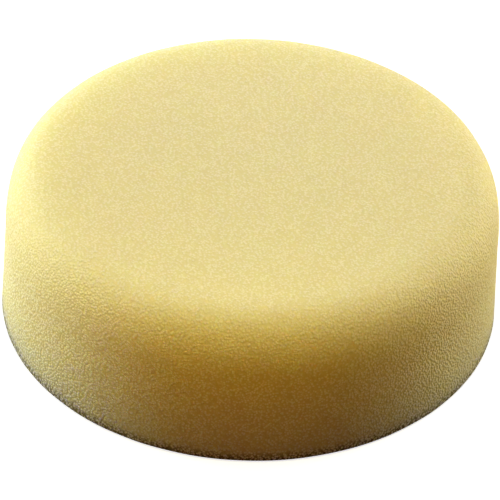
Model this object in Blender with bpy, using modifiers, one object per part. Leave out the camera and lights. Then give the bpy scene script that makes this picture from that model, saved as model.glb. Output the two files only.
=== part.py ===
"""Round foam sponge pad with a hook-and-loop back, in four separate solids.

The frame is in metres with +Z up. The origin is the middle of the loop face that the pad rests on,
and the rounded working face looks up. From the working face down, the pieces are:

    foam_pad        the block of foam, with a rounded working edge and a shallow recess in its back
    adhesive_film   the melted film that bonds the backing in the recess
    backing_cloth   the knitted ground of the loop cloth
    loop_pile       the layer of loops that a hook-faced plate grips
"""

import math

import bmesh
import bpy

# Driving dimensions, in metres unless a comment says otherwise.
FOAM_DIAMETER = 0.0760  # across the foot of the wall
FOAM_THICKNESS = 0.0250  # from the foot of the wall to the working face
WALL_DRAFT = 0.0004  # how far the wall leans in between its foot and its top
EDGE_WIDTH = 0.0074  # how far the rounded edge runs in over the working face
EDGE_DROP = 0.0112  # how far the rounded edge runs down the wall
EDGE_FULLNESS = 3.0  # exponent of the rounding's curve, where 2 is an ellipse and more is fuller
RIM_WIDTH = 0.0050  # foam left around the recess, at the foot
FILM_THICKNESS = 0.0003
CLOTH_THICKNESS = 0.0005
PILE_HEIGHT = 0.0011  # how tall the loops stand
PILE_PROUD = 0.0004  # how far the loops stand out of the recess
PILE_EDGE = 0.0004  # rounding at the loops' free edge

# Named clearances.
LAYER_GAP = 0.0003  # between one layer of the back and the next
RIM_GAP = 0.0006  # between the recess's wall and the layers in it

# How finely the round shapes are divided.
TURN_STEPS = 120
EDGE_SEGMENTS = 14
PILE_SEGMENTS = 3
AXIS_MERGE = 0.00001  # points of a turned shape this close to each other are one

# The stack, from the face that the pad rests on.
FOOT_Z = PILE_PROUD
TOP_Z = FOOT_Z + FOAM_THICKNESS
CLOTH_Z = PILE_HEIGHT + LAYER_GAP
FILM_Z = CLOTH_Z + CLOTH_THICKNESS + LAYER_GAP
RECESS_Z = FILM_Z + FILM_THICKNESS + LAYER_GAP

FOAM_RADIUS = FOAM_DIAMETER / 2
RECESS_RADIUS = FOAM_RADIUS - RIM_WIDTH
BACKING_RADIUS = RECESS_RADIUS - RIM_GAP


def clear_scene():
    """Remove every object that the file holds."""
    for item in list(bpy.data.objects):
        bpy.data.objects.remove(item, do_unlink=True)


def make_collection(name):
    """Return a new collection in the scene."""
    collection = bpy.data.collections.new(name)
    bpy.context.scene.collection.children.link(collection)
    return collection


def make_material(name, color, roughness, metallic=0.0):
    """Return a Principled material of one colour."""
    material = bpy.data.materials.new(name)
    material.use_nodes = True
    shader = material.node_tree.nodes["Principled BSDF"]
    shader.inputs["Base Color"].default_value = (*color, 1.0)
    shader.inputs["Roughness"].default_value = roughness
    shader.inputs["Metallic"].default_value = metallic
    return material


def rounded_corner(radius, height, width, drop, exponent, segments):
    """Return the (radius, height) points of a corner that starts on the upper face and ends on the wall.

    The corner fills a box of width by drop whose outer top corner is at (radius, height).
    """
    points = []
    for step in range(segments + 1):
        angle = math.pi / 2 * (1 - step / segments)
        along = max(math.cos(angle), 0.0) ** (2 / exponent)
        up = max(math.sin(angle), 0.0) ** (2 / exponent)
        points.append((radius - width + width * along, height - drop + drop * up))
    return points


def turned_solid(name, profile, material, collection):
    """Return a closed solid turned about the Z axis from (radius, height) points, listed top to bottom."""
    mesh = bpy.data.meshes.new(name)
    outline = bmesh.new()
    points = [outline.verts.new((radius, 0.0, height)) for radius, height in profile]
    for upper, lower in zip(points, points[1:]):
        outline.edges.new((upper, lower))
    outline.to_mesh(mesh)
    outline.free()
    mesh.materials.append(material)

    solid = bpy.data.objects.new(name, mesh)
    collection.objects.link(solid)
    turn = solid.modifiers.new("Turn", "SCREW")
    turn.axis = "Z"
    turn.angle = 2 * math.pi
    turn.steps = TURN_STEPS
    turn.render_steps = TURN_STEPS
    turn.use_merge_vertices = True
    turn.merge_threshold = AXIS_MERGE
    turn.use_smooth_shade = True
    close = solid.modifiers.new("Close the axis", "WELD")
    close.merge_threshold = AXIS_MERGE
    return solid


def make_foam_pad(collection):
    """Return the block of foam, with its rounded working edge, drafted wall and recessed back."""
    wall_top = FOAM_RADIUS - WALL_DRAFT
    profile = [
        (0.0, TOP_Z),
        *rounded_corner(wall_top, TOP_Z, EDGE_WIDTH, EDGE_DROP, EDGE_FULLNESS, EDGE_SEGMENTS),
        (FOAM_RADIUS, FOOT_Z),
        (RECESS_RADIUS, FOOT_Z),
        (RECESS_RADIUS, RECESS_Z),
        (0.0, RECESS_Z),
    ]
    foam = make_material("foam", (0.80, 0.68, 0.33), 0.9)
    return turned_solid("foam_pad", profile, foam, collection)


def make_adhesive_film(collection):
    """Return the film of melted adhesive under the recess's ceiling."""
    top = FILM_Z + FILM_THICKNESS
    profile = [(0.0, top), (BACKING_RADIUS, top), (BACKING_RADIUS, FILM_Z), (0.0, FILM_Z)]
    adhesive = make_material("adhesive", (0.78, 0.75, 0.66), 0.35)
    return turned_solid("adhesive_film", profile, adhesive, collection)


def make_backing_cloth(collection):
    """Return the knitted ground of the loop cloth."""
    top = CLOTH_Z + CLOTH_THICKNESS
    profile = [(0.0, top), (BACKING_RADIUS, top), (BACKING_RADIUS, CLOTH_Z), (0.0, CLOTH_Z)]
    knit = make_material("knit", (0.72, 0.71, 0.68), 0.85)
    return turned_solid("backing_cloth", profile, knit, collection)


def make_loop_pile(collection):
    """Return the layer of loops, flat on its free face and rounded at that face's edge."""
    free_edge = rounded_corner(BACKING_RADIUS, PILE_EDGE, PILE_EDGE, PILE_EDGE, 2.0, PILE_SEGMENTS)
    profile = [
        (0.0, PILE_HEIGHT),
        (BACKING_RADIUS, PILE_HEIGHT),
        *[(radius, PILE_EDGE - height) for radius, height in reversed(free_edge)],
        (0.0, 0.0),
    ]
    loops = make_material("loops", (0.80, 0.79, 0.76), 0.8)
    return turned_solid("loop_pile", profile, loops, collection)


def main():
    """Build the four pieces of the pad."""
    clear_scene()
    pad = make_collection("foam_sponge_pad")
    make_foam_pad(pad)
    make_adhesive_film(pad)
    make_backing_cloth(pad)
    make_loop_pile(pad)


main()
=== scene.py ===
"""Dress the round foam sponge pad: its fine-cell foam, its film of adhesive and its knitted loop back.

Everything is in metres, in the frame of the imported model: +Z is up, and the origin is the middle of the
loop face that the pad rests on. Places and outer sizes come from the frame; what the frame can't say,
such as the curve of the rounded edge or the size of a foam cell, is a field of the class that uses it.
"""

from __future__ import annotations

import logging
import math
from dataclasses import dataclass
from enum import Enum

import bpy
import numpy as np
from mathutils import Matrix, Vector

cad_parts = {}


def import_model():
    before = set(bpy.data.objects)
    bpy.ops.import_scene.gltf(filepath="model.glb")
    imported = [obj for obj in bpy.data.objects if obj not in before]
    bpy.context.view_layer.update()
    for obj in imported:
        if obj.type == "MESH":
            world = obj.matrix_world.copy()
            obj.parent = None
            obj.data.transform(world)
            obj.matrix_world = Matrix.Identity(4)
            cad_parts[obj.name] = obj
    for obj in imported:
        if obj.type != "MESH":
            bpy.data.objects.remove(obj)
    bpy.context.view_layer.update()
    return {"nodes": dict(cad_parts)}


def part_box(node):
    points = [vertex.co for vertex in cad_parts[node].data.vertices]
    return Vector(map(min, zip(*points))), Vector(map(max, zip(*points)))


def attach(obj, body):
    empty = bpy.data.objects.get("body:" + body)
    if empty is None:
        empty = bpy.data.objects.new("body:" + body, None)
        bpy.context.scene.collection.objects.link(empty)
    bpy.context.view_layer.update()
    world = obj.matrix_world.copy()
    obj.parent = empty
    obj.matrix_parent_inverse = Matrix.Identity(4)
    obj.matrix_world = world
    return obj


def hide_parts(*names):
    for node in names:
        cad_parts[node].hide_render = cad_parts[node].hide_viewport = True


LOG = logging.getLogger("sponge_pad")
MM = 0.001
BODY = "root"

# A round body is unrolled round the middle of its bake map, which is one unit wide. The few faces that
# close its far side are laid out apart, as a disc in the map's corner.
BAKE_MAP = "OFBake"
MAP_MIDDLE = 0.5
MAP_REACH = 0.499
MAP_HUB = 0.083
MAP_HUB_FILL = 0.94

Color = tuple[float, float, float]


# ---------------------------------------------------------------------------------------------------
# Node trees
# ---------------------------------------------------------------------------------------------------


class Value:
    """A number that nodes work out, with the usual operators on it."""

    def __init__(self, graph: "Graph", socket: bpy.types.NodeSocket) -> None:
        """Wrap one output socket of a graph's node."""
        self.graph = graph
        self.socket = socket

    def _math(self, operation: str, *terms: object) -> "Value":
        """Return the result of one Math node.

        Args:
            operation: The Math node's operation.
            terms: The node's inputs, in order.

        Returns:
            The node's output.
        """
        made = self.graph.node("ShaderNodeMath", {"operation": operation}, dict(enumerate(terms)))
        return Value(self.graph, made.outputs[0])

    def __add__(self, other: object) -> "Value":
        """Return self + other."""
        return self._math("ADD", self, other)

    def __radd__(self, other: object) -> "Value":
        """Return other + self."""
        return self._math("ADD", other, self)

    def __sub__(self, other: object) -> "Value":
        """Return self - other."""
        return self._math("SUBTRACT", self, other)

    def __rsub__(self, other: object) -> "Value":
        """Return other - self."""
        return self._math("SUBTRACT", other, self)

    def __rtruediv__(self, other: object) -> "Value":
        """Return other / self."""
        return self._math("DIVIDE", other, self)

    def __mul__(self, other: object) -> "Value":
        """Return self * other."""
        return self._math("MULTIPLY", self, other)

    def __rmul__(self, other: object) -> "Value":
        """Return other * self."""
        return self._math("MULTIPLY", other, self)

    def __truediv__(self, other: object) -> "Value":
        """Return self / other."""
        return self._math("DIVIDE", self, other)

    def __pow__(self, other: object) -> "Value":
        """Return self to the power of other."""
        return self._math("POWER", self, other)

    def sine(self) -> "Value":
        """Return the sine of self, in radians."""
        return self._math("SINE", self)

    def size(self) -> "Value":
        """Return self without its sign."""
        return self._math("ABSOLUTE", self)

    def above(self, floor: object) -> "Value":
        """Return self, or the floor where self is below it."""
        return self._math("MAXIMUM", self, floor)

    def ramp(self, low: object, high: object, start: float = 0.0, end: float = 1.0) -> "Value":
        """Return a smooth step from start, at low and below, to end, at high and above.

        Args:
            low: The input at which the step begins.
            high: The input at which the step ends.
            start: The output before the step.
            end: The output after the step.

        Returns:
            The stepped value.
        """
        made = self.graph.node(
            "ShaderNodeMapRange",
            {"interpolation_type": "SMOOTHSTEP"},
            {"Value": self, "From Min": low, "From Max": high, "To Min": start, "To Max": end},
        )
        return Value(self.graph, made.outputs[0])


class Cell(Enum):
    """What a pattern of packed cells measures."""

    MIDDLE = "F1"
    BORDER = "DISTANCE_TO_EDGE"


class Graph:
    """A node tree that is built in code, for a material or for geometry."""

    def __init__(self, tree: bpy.types.NodeTree) -> None:
        """Start building in a tree."""
        self.tree = tree

    def _feed(self, target: bpy.types.NodeSocket, value: object) -> None:
        """Link a value to a socket, or set the socket to it.

        Args:
            target: The input socket.
            value: A Value, a socket, a node whose first output is meant, or a plain value.
        """
        if isinstance(value, Value):
            value = value.socket
        if isinstance(value, bpy.types.Node):
            value = value.outputs[0]
        if isinstance(value, bpy.types.NodeSocket):
            self.tree.links.new(value, target)
        elif target.type == "RGBA" and len(value) == 3:
            target.default_value = (*value, 1.0)
        else:
            target.default_value = value

    def node(
        self,
        kind: str,
        settings: dict[str, object] | None = None,
        sockets: dict[str | int, object] | None = None,
    ) -> bpy.types.Node:
        """Add one node.

        Args:
            kind: The node's type.
            settings: The node's own settings, which are set first.
            sockets: Values or links for the node's inputs, by name or by number.

        Returns:
            The new node.
        """
        made = self.tree.nodes.new(kind)
        for name, value in (settings or {}).items():
            setattr(made, name, value)
        for key, value in (sockets or {}).items():
            if isinstance(key, int):
                target = made.inputs[key]
            else:
                target = next(s for s in made.inputs if s.enabled and s.name == key)
            self._feed(target, value)
        return made

    def value(
        self,
        kind: str,
        output: str,
        settings: dict[str, object] | None = None,
        sockets: dict[str | int, object] | None = None,
    ) -> Value:
        """Add one node and return one of its outputs as a Value.

        Args:
            kind: The node's type.
            output: The name of the output that is wanted.
            settings: The node's own settings.
            sockets: Values or links for its inputs.

        Returns:
            The output.
        """
        return Value(self, self.node(kind, settings, sockets).outputs[output])

    def blend(self, factor: object, first: object, second: object) -> bpy.types.NodeSocket:
        """Return a colour between two others.

        Args:
            factor: 0 gives the first and 1 the second.
            first: A colour, or the socket of one.
            second: A colour, or the socket of one.

        Returns:
            The socket of the mixed colour.
        """
        sockets = {"Factor": factor, "A": first, "B": second}
        made = self.node("ShaderNodeMix", {"data_type": "RGBA"}, sockets)
        return next(socket for socket in made.outputs if socket.enabled)

    def parts(self, vector: object) -> tuple[Value, Value, Value]:
        """Return a vector's X, Y and Z.

        Args:
            vector: The vector's socket.

        Returns:
            The three numbers.
        """
        x, y, z = self.node("ShaderNodeSeparateXYZ", None, {"Vector": vector}).outputs
        return Value(self, x), Value(self, y), Value(self, z)

    def vector(self, x: object = 0.0, y: object = 0.0, z: object = 0.0) -> bpy.types.NodeSocket:
        """Return a vector made of three numbers.

        Args:
            x: Its X.
            y: Its Y.
            z: Its Z.

        Returns:
            The vector's socket.
        """
        return self.node("ShaderNodeCombineXYZ", None, {"X": x, "Y": y, "Z": z}).outputs[0]


class Backdrop(Graph):
    """The node tree of the floor or of the world behind it."""

    def looked_at(self) -> Value:
        """Tell what only looks at the backdrop from what it lights.

        Returns:
            1 where the camera, a reflection or a look through glass meets it, and otherwise 0.
        """
        rays = self.node("ShaderNodeLightPath")
        seen = Value(self, rays.outputs["Is Camera Ray"])
        return seen.above(rays.outputs["Is Glossy Ray"]).above(rays.outputs["Is Transmission Ray"])


class Surface(Graph):
    """The node tree of a new material, with a Principled shader at its end."""

    def __init__(self, name: str) -> None:
        """Make the material and clear its tree.

        Args:
            name: The material's name.
        """
        self.material = bpy.data.materials.new(name)
        self.material.use_nodes = True
        super().__init__(self.material.node_tree)
        self.tree.nodes.clear()
        self.place = self.node("ShaderNodeTexCoord").outputs["Object"]

    def noise(self, size: float, detail: float = 2.0) -> Value:
        """Return a noise from 0 to 1.

        Args:
            size: The width of its patches, in metres.
            detail: How many finer layers it has.

        Returns:
            The noise.
        """
        sockets = {"Vector": self.place, "Scale": 1 / size, "Detail": detail}
        return self.value("ShaderNodeTexNoise", "Fac", None, sockets)

    def cells(self, size: float, feature: Cell = Cell.MIDDLE) -> Value:
        """Return the distance from the middles of packed cells, or from their borders.

        Args:
            size: The width of a cell, in metres.
            feature: Which of the two it is.

        Returns:
            The distance, as a share of the cell's width.
        """
        sockets = {"Vector": self.place, "Scale": 1 / size}
        return self.value("ShaderNodeTexVoronoi", "Distance", {"feature": feature.value}, sockets)

    def bump(self, height: object, depth: float) -> bpy.types.NodeSocket:
        """Return normals that are tilted as a relief tilts them.

        Args:
            height: The relief, from 0 to 1.
            depth: How deep the relief is, in metres.

        Returns:
            The socket of the normals.
        """
        sockets = {"Height": height, "Distance": depth, "Strength": 1.0}
        return self.node("ShaderNodeBump", None, sockets).outputs["Normal"]

    def finish(self, **sockets: object) -> bpy.types.Material:
        """Close the tree with a Principled shader.

        Args:
            sockets: The shader's inputs, with an underscore for each space in a name.

        Returns:
            The material.
        """
        named = {name.replace("_", " "): value for name, value in sockets.items()}
        shader = self.node("ShaderNodeBsdfPrincipled", None, named)
        self.node("ShaderNodeOutputMaterial", None, {"Surface": shader})
        return self.material


class Shaper(Graph):
    """A Geometry Nodes tree whose sizes are named inputs."""

    def __init__(self, name: str) -> None:
        """Make the tree, with a geometry going in and one coming out.

        Args:
            name: The tree's name.
        """
        super().__init__(bpy.data.node_groups.new(name, "GeometryNodeTree"))
        self.tree.interface.new_socket("Geometry", in_out="INPUT", socket_type="NodeSocketGeometry")
        self.tree.interface.new_socket("Geometry", in_out="OUTPUT", socket_type="NodeSocketGeometry")
        self.way_in = self.node("NodeGroupInput")
        self.values: dict[str, object] = {}

    def size(self, name: str, value: object, kind: str = "NodeSocketFloat") -> Value:
        """Add a named input.

        Args:
            name: The input's name.
            value: What the modifier gives it.
            kind: The type of its socket.

        Returns:
            The input, for use in the tree.
        """
        socket = self.tree.interface.new_socket(name, in_out="INPUT", socket_type=kind)
        self.values[socket.identifier] = value
        return Value(self, self.way_in.outputs[name])

    def place(self) -> bpy.types.NodeSocket:
        """Return the socket of each point's place."""
        return self.node("GeometryNodeInputPosition").outputs[0]

    def noise(self, size: Value, detail: float = 1.0) -> Value:
        """Return a noise from about -0.5 to 0.5 at each point.

        Args:
            size: The width of its patches.
            detail: How many finer layers it has.

        Returns:
            The noise.
        """
        sockets = {"Vector": self.place(), "Scale": 1 / size, "Detail": detail}
        return self.value("ShaderNodeTexNoise", "Fac", None, sockets) - 0.5

    def scatter(self, low: object, high: object, seed: Value) -> bpy.types.NodeSocket:
        """Return a random vector for each point.

        Args:
            low: The least that it may be.
            high: The most that it may be.
            seed: The fixed start of the random draws.

        Returns:
            The socket of the vector.
        """
        sockets = {"Min": low, "Max": high, "Seed": seed}
        made = self.node("FunctionNodeRandomValue", {"data_type": "FLOAT_VECTOR"}, sockets)
        return made.outputs[0]

    def moved(self, geometry: object, offset: object) -> bpy.types.NodeSocket:
        """Return the geometry with its points moved.

        Args:
            geometry: The geometry.
            offset: How far each point goes.

        Returns:
            The socket of the moved geometry.
        """
        sockets = {"Geometry": geometry, "Offset": offset}
        return self.node("GeometryNodeSetPosition", None, sockets).outputs[0]

    def placed(self, geometry: object, position: object) -> bpy.types.NodeSocket:
        """Return the geometry with its points put somewhere else.

        Args:
            geometry: The geometry.
            position: Where each point goes.

        Returns:
            The socket of the moved geometry.
        """
        sockets = {"Geometry": geometry, "Position": position}
        return self.node("GeometryNodeSetPosition", None, sockets).outputs[0]

    def pushed(self, geometry: object, amount: Value) -> bpy.types.NodeSocket:
        """Return the geometry with its points pushed straight out of its surface.

        Args:
            geometry: The geometry.
            amount: How far each point goes.

        Returns:
            The socket of the moved geometry.
        """
        out = self.node("GeometryNodeInputNormal").outputs[0]
        sockets = {"Vector": out, "Scale": amount}
        offset = self.node("ShaderNodeVectorMath", {"operation": "SCALE"}, sockets)
        return self.moved(geometry, offset)

    def close(self, geometry: object, finish: bpy.types.Material) -> None:
        """End the tree: make the copies real and give them their material.

        Args:
            geometry: The geometry that the tree has made.
            finish: The material.
        """
        self.finish = finish
        material = self.size("Material", finish, "NodeSocketMaterial")
        real = self.node("GeometryNodeRealizeInstances", None, {"Geometry": geometry})
        worn = self.node("GeometryNodeSetMaterial", None, {"Geometry": real, "Material": material})
        self.node("NodeGroupOutput", None, {"Geometry": worn})

    def apply(self, piece: bpy.types.Object) -> bpy.types.Object:
        """Run the tree on a piece, and keep its result as the piece's plain mesh.

        Args:
            piece: The object whose mesh goes in.

        Returns:
            The same object.
        """
        modifier = piece.modifiers.new(self.tree.name, "NODES")
        modifier.node_group = self.tree
        for identifier, value in self.values.items():
            modifier[identifier] = value
        bpy.context.view_layer.update()
        shaped = piece.evaluated_get(bpy.context.evaluated_depsgraph_get())
        result = bpy.data.meshes.new_from_object(shaped)
        piece.modifiers.remove(modifier)
        result.materials.clear()
        result.materials.append(self.finish)
        result.polygons.foreach_set("material_index", np.zeros(len(result.polygons), dtype=np.int32))
        spare, piece.data = piece.data, result
        bpy.data.meshes.remove(spare)
        result.name = piece.name
        return piece


# ---------------------------------------------------------------------------------------------------
# Finishes
# ---------------------------------------------------------------------------------------------------


@dataclass(frozen=True)
class FoamFinish:
    """Fine-cell polyurethane foam: pale yellow, and golden where light has gone through it.

    The struts between the cells are paler than the pits that they leave. On the side the struts carry a
    painted highlight and the pits a painted shade, in place of the shading that grazing light gives the
    relief; both fade out up to the working face. Round the foot the pits carry painted shade, darkest at
    the lower edge. Heights are measured from the foot.
    """

    strut: Color = (0.935, 0.855, 0.59)
    pit: Color = (0.825, 0.735, 0.36)
    # On the side: struts with a painted highlight and pits with a painted shade, standing in for grazing
    # light.
    side_strut_highlight: Color = (0.995, 0.945, 0.7)
    side_pit_shade: Color = (0.775, 0.67, 0.29)
    side_shading_full_until: float = 12.0 * MM
    side_shading_gone_from: float = 24.0 * MM
    # Painted shade in the pits round the foot.
    foot_shade: Color = (0.2, 0.17, 0.05)
    foot_shade_until: float = 2.0 * MM
    cell: float = 0.39 * MM
    cell_depth: float = 0.25 * MM
    strut_ramp: tuple[float, float] = (0.08, 0.7)
    foot_shade_ramp: tuple[float, float] = (0.12, 0.34)
    spread: float = 24.0 * MM
    tint: Color = (1.0, 0.78, 0.15)

    def material(self, foot: float) -> bpy.types.Material:
        """Return the foam's material.

        Args:
            foot: How high the foam's lower edge is.

        Returns:
            The material.
        """
        surface = Surface("foam_cells")
        height = surface.parts(surface.place)[2] - foot
        cones = (1 - surface.cells(self.cell)).above(0.0)
        tips = cones ** 2
        grain = tips.ramp(*self.strut_ramp)
        face = surface.blend(grain, self.pit, self.strut)
        # The side's copy of the grain, with a painted highlight on the struts and a painted shade in the
        # pits.
        side = surface.blend(grain, self.side_pit_shade, self.side_strut_highlight)
        # The painted light and shade of the side fade out up to the working face.
        skin = surface.blend(height.ramp(self.side_shading_full_until, self.side_shading_gone_from), side, face)
        # Painted shade: the pits near the foot turn dark, darkest at the lower edge.
        foot_shade_mask = height.ramp(0.0, self.foot_shade_until, 1.0, 0.0) * tips.ramp(*self.foot_shade_ramp, 1.0, 0.0)
        return surface.finish(
            Base_Color=surface.blend(foot_shade_mask, skin, self.foot_shade),
            Roughness=0.6,
            IOR=1.25,
            Specular_IOR_Level=0.12,
            Subsurface_Weight=0.62,
            Subsurface_Radius=self.tint,
            Subsurface_Scale=self.spread,
            Normal=surface.bump(cones, self.cell_depth),
        )


@dataclass(frozen=True)
class GlueFinish:
    """A film of dried contact glue: amber, glossy and full of small bubbles."""

    glue: Color = (0.62, 0.47, 0.20)
    bubble: Color = (0.78, 0.68, 0.42)
    bubble_size: float = 0.7 * MM
    bubble_rim: tuple[float, float] = (0.05, 0.3)
    bubble_share: float = 0.6
    streak: float = 5.0 * MM
    streak_ramp: tuple[float, float] = (0.35, 0.7)
    roughness: tuple[float, float] = (0.22, 0.4)
    depth: float = 0.04 * MM

    def material(self) -> bpy.types.Material:
        """Return the glue's material.

        Returns:
            The material.
        """
        surface = Surface("dried_glue")
        bubbles = surface.cells(self.bubble_size, Cell.BORDER).ramp(*self.bubble_rim)
        streaks = surface.noise(self.streak).ramp(*self.streak_ramp)
        filled = bubbles * self.bubble_share + streaks * (1 - self.bubble_share)
        return surface.finish(
            Base_Color=surface.blend(filled, self.bubble, self.glue),
            Roughness=streaks.ramp(0.0, 1.0, *self.roughness),
            IOR=1.48,
            Normal=surface.bump(bubbles, self.depth),
        )


@dataclass(frozen=True)
class KnitFinish:
    """The ground of the backing: white polyester yarn, stitched in columns and darker between them."""

    yarn: Color = (0.74, 0.73, 0.69)
    gap: Color = (0.42, 0.40, 0.35)
    fibre: float = 0.09 * MM
    fibre_depth: float = 0.03 * MM
    fibre_share: float = 0.7
    patch: float = 4.0 * MM

    def material(self) -> bpy.types.Material:
        """Return the cloth's material.

        Returns:
            The material.
        """
        surface = Surface("knit_yarn")
        fibres = surface.noise(self.fibre)
        pale = fibres * self.fibre_share + surface.noise(self.patch) * (1 - self.fibre_share)
        return surface.finish(
            Base_Color=surface.blend(pale, self.gap, self.yarn),
            Roughness=0.85,
            Sheen_Weight=0.25,
            Normal=surface.bump(fibres, self.fibre_depth),
        )


@dataclass(frozen=True)
class YarnFinish:
    """The loops' yarn: a bundle of fine white filaments with a soft shine."""

    bright: Color = (0.84, 0.83, 0.79)
    shade: Color = (0.62, 0.60, 0.55)
    filament: float = 0.06 * MM
    filament_depth: float = 0.02 * MM
    filament_share: float = 0.5
    patch: float = 2.5 * MM
    glow_depth: float = 0.3 * MM

    def material(self) -> bpy.types.Material:
        """Return the yarn's material.

        Returns:
            The material.
        """
        surface = Surface("loop_yarn")
        filaments = surface.noise(self.filament)
        pale = filaments * self.filament_share + surface.noise(self.patch) * (1 - self.filament_share)
        return surface.finish(
            Base_Color=surface.blend(pale, self.shade, self.bright),
            Roughness=0.6,
            Sheen_Weight=0.3,
            Subsurface_Weight=0.2,
            Subsurface_Scale=self.glow_depth,
            Normal=surface.bump(filaments, self.filament_depth),
        )


# ---------------------------------------------------------------------------------------------------
# Pieces
# ---------------------------------------------------------------------------------------------------


def new_piece(name: str, points: np.ndarray, faces: list) -> bpy.types.Object:
    """Return a mesh object with smooth faces.

    Args:
        name: The object's name.
        points: The places of its points, in metres.
        faces: The points of each face.

    Returns:
        The object, linked to the scene.
    """
    mesh = bpy.data.meshes.new(name)
    mesh.from_pydata(points, [], faces)
    mesh.shade_smooth()
    piece = bpy.data.objects.new(name, mesh)
    bpy.context.scene.collection.objects.link(piece)
    return piece


@dataclass
class TurnedMesh:
    """A closed round body with one fine flat face.

    The flat face is laid out as square rings of points drawn onto circles, so that its faces are all of
    about one size. Rows of points carry on from its rim, and the last row closes onto a point.
    """

    name: str
    face_height: float
    face_radius: float
    rows: np.ndarray
    rings: int
    looks_up: bool = True

    def _turned(self) -> tuple[np.ndarray, np.ndarray, np.ndarray]:
        """Lay out the fine face and the rows below its rim.

        Returns:
            The points, how far each lies from the face's middle along the skin, and the quads.
        """
        places, face = disc_grid(self.rings)
        above = ring_order(self.rings)
        side = len(above)
        turn = np.arctan2(places[above, 1], places[above, 0])
        points = [np.column_stack((places * self.face_radius, np.full(len(places), self.face_height)))]
        reach = [np.hypot(*places.T) * self.face_radius]
        quads = [face]
        line = np.vstack([(self.face_radius, self.face_height), self.rows])
        along = self.face_radius + np.cumsum(np.hypot(*np.diff(line, axis=0).T))
        for row, (radius, height) in enumerate(self.rows):
            level = np.full(side, height)
            points.append(np.column_stack((radius * np.cos(turn), radius * np.sin(turn), level)))
            reach.append(np.full(side, along[row]))
            below = len(places) + row * side + np.arange(side)
            quads.append(np.column_stack((above, below, np.roll(below, -1), np.roll(above, -1))))
            above = below
        return np.vstack(points), np.concatenate(reach), np.vstack(quads)

    def build(self) -> bpy.types.Object:
        """Build the body, with a bake map that unrolls it round the middle of its fine face.

        Returns:
            The body.
        """
        points, reach, quads = self._turned()
        hub = len(points)
        rim = np.arange(hub - rim_points(self.rings), hub)
        fan = np.column_stack((rim, np.full(len(rim), hub), np.roll(rim, -1)))
        middle = (0.0, 0.0, self.rows[-1][1])
        if not self.looks_up:
            quads, fan = quads[:, ::-1], fan[:, ::-1]
        piece = new_piece(self.name, np.vstack((points, middle)), [*quads.tolist(), *fan.tolist()])
        turn = np.arctan2(points[:, 1], points[:, 0])
        sign = 1.0 if self.looks_up else -1.0
        away = reach / reach[-1] * MAP_REACH
        skin = MAP_MIDDLE + np.column_stack((sign * away * np.cos(turn), away * np.sin(turn)))
        disc = np.column_stack((-sign * np.cos(turn), np.sin(turn))) * MAP_HUB * MAP_HUB_FILL + MAP_HUB
        disc = np.vstack((disc, (MAP_HUB, MAP_HUB)))
        flat = np.vstack((skin[quads.ravel()], disc[fan.ravel()]))
        piece.data.uv_layers.new(name=BAKE_MAP).data.foreach_set("uv", flat.ravel())
        return piece


@dataclass
class FoamPad:
    """The block of foam, with its rounded working edge, its crisp foot and the recess in its back."""

    edge_width: float = 7.4 * MM
    edge_drop: float = 11.2 * MM
    edge_fullness: float = 3.0
    wall_draft: float = 0.4 * MM
    rim_width: float = 5.0 * MM
    recess_depth: float = 2.4 * MM
    rings: int = 86
    edge_steps: int = 400
    back_coarseness: float = 2.0
    swell: float = 9.0 * MM
    swell_depth: float = 0.16 * MM
    lean: float = 0.013
    finish: FoamFinish = FoamFinish()

    def __post_init__(self) -> None:
        """Take the outer sizes from the frame."""
        low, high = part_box("foam_pad")
        self.radius = (high.x - low.x) / 2
        self.foot = low.z
        self.top = high.z

    def _profile(self) -> np.ndarray:
        """Draw the half section, from the flat of the working face down the wall and into the recess.

        Returns:
            The radius and the height of each row of points.
        """
        wall_top = self.radius - self.wall_draft
        angle = np.linspace(math.pi / 2, 0, self.edge_steps)
        power = 2 / self.edge_fullness
        around = wall_top - self.edge_width + self.edge_width * np.clip(np.cos(angle), 0, 1) ** power
        down = self.top - self.edge_drop + self.edge_drop * np.clip(np.sin(angle), 0, 1) ** power
        foot = (self.radius, self.foot)
        pitch = 2 * math.pi * self.radius / rim_points(self.rings)
        wall = spaced(np.vstack((np.column_stack((around, down)), foot)), pitch)
        inner = self.radius - self.rim_width
        lip, ceiling = (inner, self.foot), (inner, self.foot + self.recess_depth)
        back_pitch = pitch * self.back_coarseness
        under = spaced(np.array([foot, lip]), back_pitch)
        pocket = spaced(np.array([lip, ceiling]), back_pitch)
        return np.vstack((wall[1:], under[1:], pocket[1:]))

    def _relief(self) -> Shaper:
        """Make the tree that gives the block its slight swells and its lean.

        Returns:
            The tree.
        """
        shaper = Shaper("foam_relief")
        swell, depth = shaper.size("Swell", self.swell), shaper.size("Swell Depth", self.swell_depth)
        lean, foot = shaper.size("Lean", self.lean), shaper.size("Foot", self.foot)
        uneven = shaper.pushed(shaper.way_in.outputs["Geometry"], shaper.noise(swell) * depth)
        height = shaper.parts(shaper.place())[2] - foot
        leaning = shaper.moved(uneven, shaper.vector(x=height * lean))
        shaper.close(leaning, self.finish.material(self.foot))
        return shaper

    def build(self) -> bpy.types.Object:
        """Build the foam, shaped and dressed.

        Returns:
            The foam.
        """
        flat = self.radius - self.wall_draft - self.edge_width
        piece = TurnedMesh("foam_block", self.top, flat, self._profile(), self.rings).build()
        self._relief().apply(piece)
        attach(piece, BODY)
        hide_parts("foam_pad")
        return piece


@dataclass
class AdhesiveFilm:
    """The film of glue between the foam and the backing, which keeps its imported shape."""

    finish: GlueFinish = GlueFinish()

    def build(self, film: bpy.types.Object) -> bpy.types.Object:
        """Dress the film.

        Args:
            film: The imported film.

        Returns:
            The same film.
        """
        film.material_slots[0].material = self.finish.material()
        return film


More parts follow.
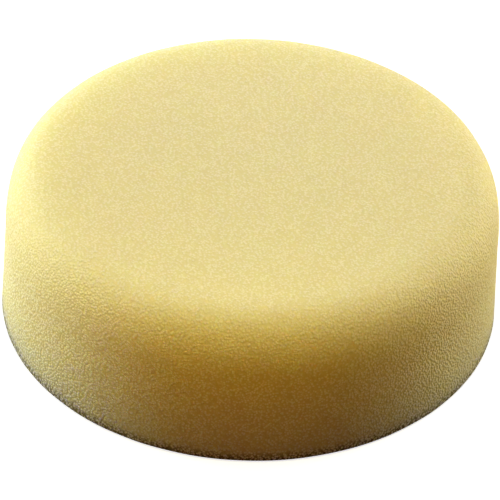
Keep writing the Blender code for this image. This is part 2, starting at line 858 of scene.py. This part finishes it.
@dataclass
class LoopPile:
    """The loops of yarn that stand on the backing, and that a hooked plate grips."""

    pitch: float = 0.98 * MM
    height: float = 1.42 * MM
    width: float = 0.78 * MM
    yarn: float = 0.2 * MM
    open_angle: float = 60.0
    stray: float = 0.22 * MM
    turn: float = 0.9
    lean: float = 0.3
    steps: int = 8
    sides: int = 3
    seed: int = 17
    root: float = 0.12 * MM
    map_margin: float = 0.25
    map_cap: float = 0.4
    finish: YarnFinish = YarnFinish()

    def __post_init__(self) -> None:
        """Take the field's size from the frame."""
        low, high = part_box("loop_pile")
        self.radius = (high.x - low.x) / 2
        self.floor = low.z
        self.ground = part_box("backing_cloth")[0].z

    def _spread(self, shaper: Shaper) -> bpy.types.NodeSocket:
        """Set out the points that the loops hang from: rows half a pitch out of step, a little astray.

        Args:
            shaper: The tree.

        Returns:
            The socket of the points.
        """
        radius, pitch = shaper.size("Radius", self.radius), shaper.size("Pitch", self.pitch)
        seed = shaper.size("Seed", self.seed, "NodeSocketInt")
        stray = shaper.size("Stray", self.stray)
        row_gap = pitch * math.sin(math.pi / 3)
        sockets = {
            "Size X": radius * 2,
            "Size Y": radius * 2,
            "Vertices X": radius * 2 / row_gap + 1,
            "Vertices Y": radius * 2 / pitch + 1,
        }
        grid = shaper.node("GeometryNodeMeshGrid", None, sockets)
        row = (shaper.parts(shaper.place())[0] + radius) / row_gap
        odd = shaper.value("ShaderNodeMath", "Value", {"operation": "PINGPONG"}, {0: row, 1: 1.0})
        stepped = shaper.moved(grid, shaper.vector(y=(odd - 0.5) * pitch / 2))
        low, high = shaper.vector(0 - stray, 0 - stray), shaper.vector(stray, stray)
        strayed = shaper.moved(stepped, shaper.scatter(low, high, seed))
        x, y, _ = shaper.parts(shaper.place())
        reach = radius - self.width / 2 - self.yarn
        sockets = {"A": x * x + y * y, "B": reach * reach}
        outside = shaper.value("FunctionNodeCompare", "Result", {"operation": "GREATER_THAN"}, sockets)
        kept = shaper.node("GeometryNodeDeleteGeometry", {"domain": "POINT"}, {0: strayed, 1: outside})
        return kept.outputs[0]

    def _loop(self, shaper: Shaper) -> bpy.types.NodeSocket:
        """Make one loop of yarn, open at its root and hanging down from it.

        Args:
            shaper: The tree.

        Returns:
            The socket of the loop.
        """
        height, width = shaper.size("Height", self.height), shaper.size("Width", self.width)
        yarn, root = shaper.size("Yarn", self.yarn), shaper.size("Root", self.root)
        gap = math.radians(self.open_angle)

        # An arc that is one unit across, stretched to the loop's width and height.
        radius = 0.5
        sockets = {
            "Resolution": self.steps,
            "Radius": radius,
            "Start Angle": math.pi / 2 + gap / 2,
            "Sweep Angle": 2 * math.pi - gap,
        }
        arc = shaper.node("GeometryNodeCurveArc", {"mode": "RADIUS"}, sockets)
        x, y, _ = shaper.parts(shaper.place())
        top = radius * math.cos(gap / 2)
        drop = (y - top) * height / (radius + top) + root
        hung = shaper.placed(arc, shaper.vector(x * width, 0.0, drop))
        sockets = {"Resolution": self.sides, "Radius": yarn / 2}
        ring = shaper.node("GeometryNodeCurvePrimitiveCircle", {"mode": "RADIUS"}, sockets)
        sockets = {"Curve": hung, "Profile Curve": ring, "Fill Caps": True}
        return shaper.node("GeometryNodeCurveToMesh", None, sockets).outputs[0]

    def _field(self) -> Shaper:
        """Make the tree that grows the field of loops, pressed flat where they meet the floor.

        Returns:
            The tree.
        """
        shaper = Shaper("loop_field")
        points, loop = self._spread(shaper), self._loop(shaper)
        turn, lean = shaper.size("Turn", self.turn), shaper.size("Lean", self.lean)
        seed = shaper.size("Turn Seed", self.seed + 1, "NodeSocketInt")
        low, high = shaper.vector(0 - lean, 0 - lean, 0 - turn), shaper.vector(lean, lean, turn)
        sockets = {"Points": points, "Instance": loop, "Rotation": shaper.scatter(low, high, seed)}
        stood = shaper.node("GeometryNodeInstanceOnPoints", None, sockets)
        real = shaper.node("GeometryNodeRealizeInstances", None, {"Geometry": stood})
        ground, floor = shaper.size("Ground", self.ground), shaper.size("Floor", self.floor)
        x, y, z = shaper.parts(shaper.place())
        pressed = shaper.placed(real, shaper.vector(x, y, (z + ground).above(floor)))
        sockets = {"Geometry": pressed, "Shade Smooth": True}
        smooth = shaper.node("GeometryNodeSetShadeSmooth", None, sockets)
        shaper.close(smooth, self.finish.material())
        return shaper

    def _unroll(self, mesh: bpy.types.Mesh) -> None:
        """Give the loops a bake map, in which each loop's tube is unrolled in a small square of its own.

        Args:
            mesh: The field of loops, whose points go ring by ring along one loop after another.
        """
        points = np.empty(len(mesh.loops), dtype=np.int32)
        first, corners = np.empty((2, len(mesh.polygons)), dtype=np.int32)
        mesh.loops.foreach_get("vertex_index", points)
        mesh.polygons.foreach_get("loop_start", first)
        mesh.polygons.foreach_get("loop_total", corners)
        loop_points = self.steps * self.sides
        loop, point = np.divmod(points, loop_points)
        along, side = np.divmod(point, self.sides)

        # The tube's quads. The last strip leads from the last side to the first, which is laid beyond it.
        span = np.maximum.reduceat(side, first) - np.minimum.reduceat(side, first)
        closing = np.repeat(span == self.sides - 1, corners)
        tube = np.column_stack((np.where(closing & (side == 0), self.sides, side), along))

        # The two caps, one above the other beside the tube.
        turn = 2 * math.pi * side / self.sides
        middle = np.column_stack((np.full(len(points), self.sides + 0.5), (along > 0) + 0.5))
        cap = middle + self.map_cap * np.column_stack((np.cos(turn), np.sin(turn)))
        on_cap = np.repeat(corners == self.sides, corners)

        spot = np.where(on_cap[:, None], cap, tube) + self.map_margin
        square = np.array((self.sides + 1, self.steps - 1)) + 2 * self.map_margin
        across = math.ceil(math.sqrt(len(mesh.vertices) / loop_points))
        flat = (np.column_stack(np.divmod(loop, across)) + spot / square) / across
        mesh.uv_layers.new(name=BAKE_MAP).data.foreach_set("uv", flat.ravel())

    def build(self) -> bpy.types.Object:
        """Build the field of loops.

        Returns:
            The loops.
        """
        piece = self._field().apply(new_piece("pile_loops", np.zeros((0, 3)), []))
        self._unroll(piece.data)
        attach(piece, BODY)
        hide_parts("loop_pile")
        return piece


@dataclass
class KnitBacking:
    """The knitted cloth that the loops are part of: columns of stitches, glued to the foam."""

    column: float = 1.1 * MM
    course: float = 0.9 * MM
    stitch_depth: float = 0.12 * MM
    leg_slant: float = 2.4
    leg_roundness: float = 0.6
    rung_share: float = 0.3
    edge_pitch: float = 0.25 * MM
    rings: int = 100
    finish: KnitFinish = KnitFinish()

    def __post_init__(self) -> None:
        """Take the cloth's size from the frame."""
        low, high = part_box("backing_cloth")
        self.radius = (high.x - low.x) / 2
        self.under, self.upper = low.z, high.z
        self.middle = (low.z + high.z) / 2

    def _stitches(self) -> Shaper:
        """Make the tree that raises the stitches out of the cloth's lower face.

        Returns:
            The tree.
        """
        shaper = Shaper("knit_stitches")
        column, course = shaper.size("Column", self.column), shaper.size("Course", self.course)
        depth, middle = shaper.size("Stitch Depth", self.stitch_depth), shaper.size("Middle", self.middle)
        x, y, z = shaper.parts(shaper.place())
        leg = (x / column * math.pi).sine().size()
        rung = (y / course * (2 * math.pi) + leg * self.leg_slant).sine()
        shown = z.ramp(middle, self.under, 0.0, 1.0)
        stitch = leg ** self.leg_roundness * (rung * self.rung_share + (1 - self.rung_share))
        rise = (stitch - 1) * depth * shown
        shaper.close(shaper.pushed(shaper.way_in.outputs["Geometry"], rise), self.finish.material())
        return shaper

    def build(self, loops: bpy.types.Object) -> bpy.types.Object:
        """Build the cloth.

        Args:
            loops: The field of loops that stands on it. It is not used.

        Returns:
            The cloth.
        """
        edge = np.array([(self.radius, self.under), (self.radius, self.upper)])
        rows = spaced(edge, self.edge_pitch)[1:]
        body = TurnedMesh("knit_ground", self.under, self.radius, rows, self.rings, looks_up=False)
        piece = body.build()
        self._stitches().apply(piece)
        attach(piece, BODY)
        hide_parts("backing_cloth")
        return piece


def spaced(corners: np.ndarray, pitch: float) -> np.ndarray:
    """Return points evenly spaced along a line, both its ends among them.

    Args:
        corners: The line's own points, one row each.
        pitch: The wanted distance between two points.

    Returns:
        The new points, one row each.
    """
    along = np.concatenate(([0.0], np.cumsum(np.hypot(*np.diff(corners, axis=0).T))))
    steps = max(1, round(along[-1] / pitch))
    at = np.linspace(0, along[-1], steps + 1)
    return np.column_stack([np.interp(at, along, corners[:, k]) for k in (0, 1)])


def grid_numbers(rings: int) -> np.ndarray:
    """Return the numbers of a disc grid's points, as a square table."""
    count = 2 * rings + 1
    return np.arange(count * count).reshape(count, count)


def rim_points(rings: int) -> int:
    """Return how many points the rim of a disc grid has."""
    return 8 * rings


def disc_grid(rings: int) -> tuple[np.ndarray, np.ndarray]:
    """Return a round face of radius 1 as rings of points, with faces of about one size that look up.

    Args:
        rings: How many rings lie between the middle and the rim.

    Returns:
        The points' X and Y, row by row of a square grid, and the four points of each face.
    """
    steps = np.arange(-rings, rings + 1) / rings
    x, y = (axis.ravel() for axis in np.meshgrid(steps, steps))
    wide = np.abs(x) >= np.abs(y)
    long, short = np.where(wide, x, y), np.where(wide, y, x)
    angle = math.pi / 4 * short / np.where(long == 0, 1, long)
    along, aside = long * np.cos(angle), long * np.sin(angle)
    places = np.column_stack((np.where(wide, along, aside), np.where(wide, aside, along)))
    number = grid_numbers(rings)
    faces = np.stack((number[:-1, :-1], number[:-1, 1:], number[1:, 1:], number[1:, :-1]), axis=-1)
    return places, faces.reshape(-1, 4)


def ring_order(rings: int) -> np.ndarray:
    """Return the numbers of the points on a disc grid's rim in order, anticlockwise."""
    number = grid_numbers(rings)
    return np.concatenate((number[0, :-1], number[:-1, -1], number[-1, :0:-1], number[:0:-1, 0]))


# ---------------------------------------------------------------------------------------------------
# Studio
# ---------------------------------------------------------------------------------------------------


@dataclass(frozen=True)
class Softbox:
    """A flat lamp that looks at the pad.

    Args:
        name: The lamp's name.
        azimuth: Where it stands round the pad, in degrees, with 0 in front and 90 on the right.
        elevation: How high it stands, in degrees.
        power: How strong it is, in watts.
        distance: How far it is from the pad.
        width: How wide it is.
        slimness: Its height, as a share of its width.
        color: The colour of its light.
        aim: The point that it looks at, from the middle of the pad.
    """

    name: str
    azimuth: float
    elevation: float
    power: float
    distance: float = 0.7
    width: float = 0.35
    slimness: float = 1.0
    color: Color = (1.0, 1.0, 1.0)
    aim: tuple[float, float, float] = (0.0, 0.0, 0.0)

    def build(self, middle: Vector) -> None:
        """Hang the lamp.

        Args:
            middle: The middle of the pad.
        """
        lamp = bpy.data.lights.new(self.name, "AREA")
        lamp.shape = "RECTANGLE"
        lamp.size, lamp.size_y = self.width, self.width * self.slimness
        lamp.energy = self.power
        lamp.color = self.color
        hung = bpy.data.objects.new(self.name, lamp)
        hung.visible_camera = False
        hung.matrix_world = looking(middle + Vector(self.aim), self.azimuth, self.elevation, self.distance)
        bpy.context.scene.collection.objects.link(hung)


def looking(target: Vector, azimuth: float, elevation: float, distance: float) -> Matrix:
    """Return the place and turn of something that stands off from a point and looks at it.

    Args:
        target: The point.
        azimuth: Degrees round the point, with 0 in front, at -Y, and 90 on the right, at +X.
        elevation: Degrees above the floor.
        distance: How far off it is.

    Returns:
        The matrix of an object that looks along its own -Z.
    """
    around, up = math.radians(azimuth), math.radians(elevation)
    off = Vector((math.sin(around) * math.cos(up), -math.cos(around) * math.cos(up), math.sin(up)))
    place = target + off * distance
    return Matrix.Translation(place) @ (target - place).to_track_quat("-Z", "Y").to_matrix().to_4x4()


@dataclass
class Studio:
    """The pale floor, the lamps and the camera."""

    elevation: float = 38.74
    roll: float = 1.96
    distance: float = 0.76
    lens: float = 357.9
    aim_drop: float = 2.31 * MM
    key_strength: float = 1.13
    key_angle: float = 25.0
    floor_reach: float = 3.0
    floor_grey: float = 0.6
    floor_glow: float = 0.79
    floor_bounce: float = 0.02
    lamps: tuple[Softbox, ...] = (
        Softbox("left_low", azimuth=-116, elevation=5, power=7.05, color=(0.95, 0.98, 1.0)),
        Softbox("left_front", azimuth=-98, elevation=5, power=2.42, color=(1.0, 0.98, 0.32)),
        Softbox("right_box", azimuth=120, elevation=28, power=0.88),
        Softbox("right_low", azimuth=120, elevation=5, power=5.49, color=(1.0, 0.82, 0.43)),
        Softbox("warm_fill", azimuth=-20, elevation=15, power=0.47, color=(1.0, 0.0, 0.0)),
        Softbox(
            "edge_glow",
            azimuth=0,
            elevation=57,
            power=0.0082,
            distance=0.045,
            width=0.07,
            slimness=0.17,
            color=(1.0, 0.77, 0.0),
            aim=(0.0, -0.034, 0.005),
        ),
        Softbox("back_glow", azimuth=180, elevation=60, power=0.039, distance=0.15, width=0.1),
    )

    def __post_init__(self) -> None:
        """Find the middle of the foam, which the camera and the lamps look at."""
        low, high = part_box("foam_pad")
        self.middle = (low + high) / 2

    def camera(self) -> None:
        """Set up the camera, a little rolled, and aimed just under the foam's middle."""
        lens = bpy.data.cameras.new("camera")
        lens.lens = self.lens
        lens.sensor_width = 36.0
        lens.clip_start = 0.05
        seat = bpy.data.objects.new("camera", lens)
        straight = looking(self.middle, 0, self.elevation, self.distance)
        upward = straight.to_3x3() @ Vector((0, 1, 0))
        place = straight.translation.copy()
        aim = self.middle - upward * self.aim_drop
        turn = (aim - place).to_track_quat("-Z", "Y").to_matrix().to_4x4()
        roll = Matrix.Rotation(math.radians(self.roll), 4, "Z")
        seat.matrix_world = Matrix.Translation(place) @ turn @ roll
        bpy.context.scene.collection.objects.link(seat)
        bpy.context.scene.camera = seat

    def key(self) -> None:
        """Hang the broad soft light that comes straight down."""
        lamp = bpy.data.lights.new("key", "SUN")
        lamp.energy = self.key_strength
        lamp.angle = math.radians(self.key_angle)
        hung = bpy.data.objects.new("key", lamp)
        hung.matrix_world = looking(self.middle, 0, 90, 1.0)
        bpy.context.scene.collection.objects.link(hung)

    def world(self) -> None:
        """Put white behind the scene for whatever looks at it, with no light of its own."""
        world = bpy.data.worlds.new("studio")
        world.use_nodes = True
        bpy.context.scene.world = world
        graph = Backdrop(world.node_tree)
        graph.tree.nodes.clear()
        sockets = {"Color": (1, 1, 1, 1), "Strength": graph.looked_at()}
        light = graph.node("ShaderNodeBackground", None, sockets)
        graph.node("ShaderNodeOutputWorld", None, {"Surface": light})

    def floor(self) -> None:
        """Lay the floor: white to the camera but for the pad's soft shadow, and dim to the pad."""
        far = self.floor_reach
        corners = np.array([(-far, -far, 0), (far, -far, 0), (far, far, 0), (-far, far, 0)])
        floor = new_piece("floor", corners, [(0, 1, 2, 3)])
        material = bpy.data.materials.new("floor")
        material.use_nodes = True
        graph = Backdrop(material.node_tree)
        graph.tree.nodes.clear()
        lit = graph.node("ShaderNodeBsdfDiffuse", None, {"Color": (self.floor_grey,) * 3})
        sockets = {"Color": (1, 1, 1, 1), "Strength": self.floor_glow}
        glow = graph.node("ShaderNodeEmission", None, sockets)
        both = graph.node("ShaderNodeAddShader", None, {0: lit, 1: glow})
        dim = graph.node("ShaderNodeBsdfDiffuse", None, {"Color": (self.floor_bounce,) * 3})
        mixed = graph.node("ShaderNodeMixShader", None, {0: graph.looked_at(), 1: dim, 2: both})
        graph.node("ShaderNodeOutputMaterial", None, {"Surface": mixed})
        floor.data.materials.append(material)

    def build(self) -> None:
        """Set up the whole studio."""
        self.camera()
        self.key()
        self.world()
        self.floor()
        for lamp in self.lamps:
            lamp.build(self.middle)


def main() -> None:
    """Build the studio and the pad."""
    logging.basicConfig(level=logging.INFO, format="%(name)s: %(message)s")
    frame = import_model()
    bpy.context.scene.view_settings.view_transform = "Standard"
    Studio().build()
    LOG.info("studio set")
    foam = FoamPad().build()
    film = AdhesiveFilm().build(frame["nodes"]["adhesive_film"])
    loops = LoopPile().build()
    backing = KnitBacking().build(loops)
    for piece in (foam, film, loops, backing):
        LOG.info("%s: %d faces", piece.name, len(piece.data.polygons))


if __name__ == "__main__":
    main()
